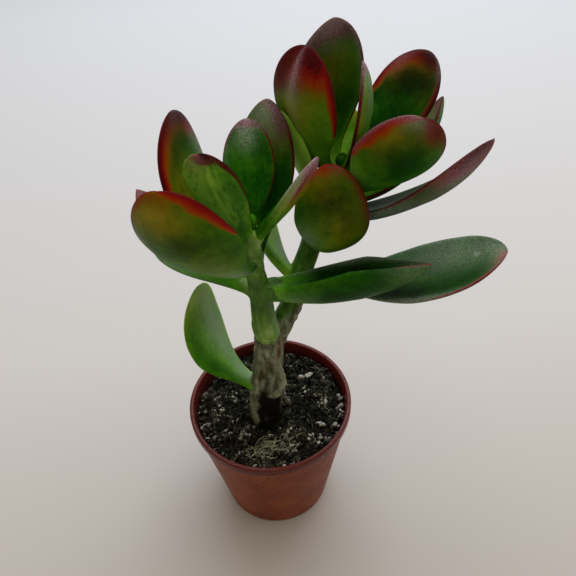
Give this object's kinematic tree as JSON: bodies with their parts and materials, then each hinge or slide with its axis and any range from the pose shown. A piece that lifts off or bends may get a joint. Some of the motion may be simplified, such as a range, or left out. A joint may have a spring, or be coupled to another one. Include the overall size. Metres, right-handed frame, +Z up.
{
  "type": "potted jade plant",
  "caption": "Young jade plant with thick rounded channelled leaves in opposite pairs on a forked stem, growing in a small round tapered plastic nursery pot filled with soil.",
  "frame": {"origin": "middle of the pot's flat underside, on the surface it stands on", "axes": "+Z up along the pot's axis; +X to the side that the right branch leans to, the viewer's right from the front; -Y towards the front, where the two branches are seen side by side"},
  "size_m": [0.093, 0.0585, 0.1684],
  "materials": {
    "pot": "semi-matte terracotta-brown polypropylene, lightly scuffed",
    "soil": "dark peat potting mix with fibres and white perlite",
    "stem": "fleshy green stem, grey-brown and woody towards the soil",
    "leaf": "fleshy waxy green leaf skin, satin, reddened along the margins"
  },
  "bodies": {
    "root": {"pot": "pot", "soil": "soil", "stem": "stem", "leaf_trunk": "leaf", "leaf_left_1a": "leaf", "leaf_left_1b": "leaf", "leaf_left_2a": "leaf", "leaf_left_2b": "leaf", "leaf_left_3a": "leaf", "leaf_left_3b": "leaf", "leaf_left_4a": "leaf", "leaf_left_4b": "leaf", "leaf_right_1a": "leaf", "leaf_right_1b": "leaf", "leaf_right_2a": "leaf", "leaf_right_2b": "leaf", "leaf_right_3a": "leaf", "leaf_right_3b": "leaf", "leaf_right_4a": "leaf", "leaf_right_4b": "leaf", "leaf_right_5a": "leaf", "leaf_right_5b": "leaf", "leaf_right_6a": "leaf", "leaf_right_6b": "leaf"}
  },
  "joints": []
}
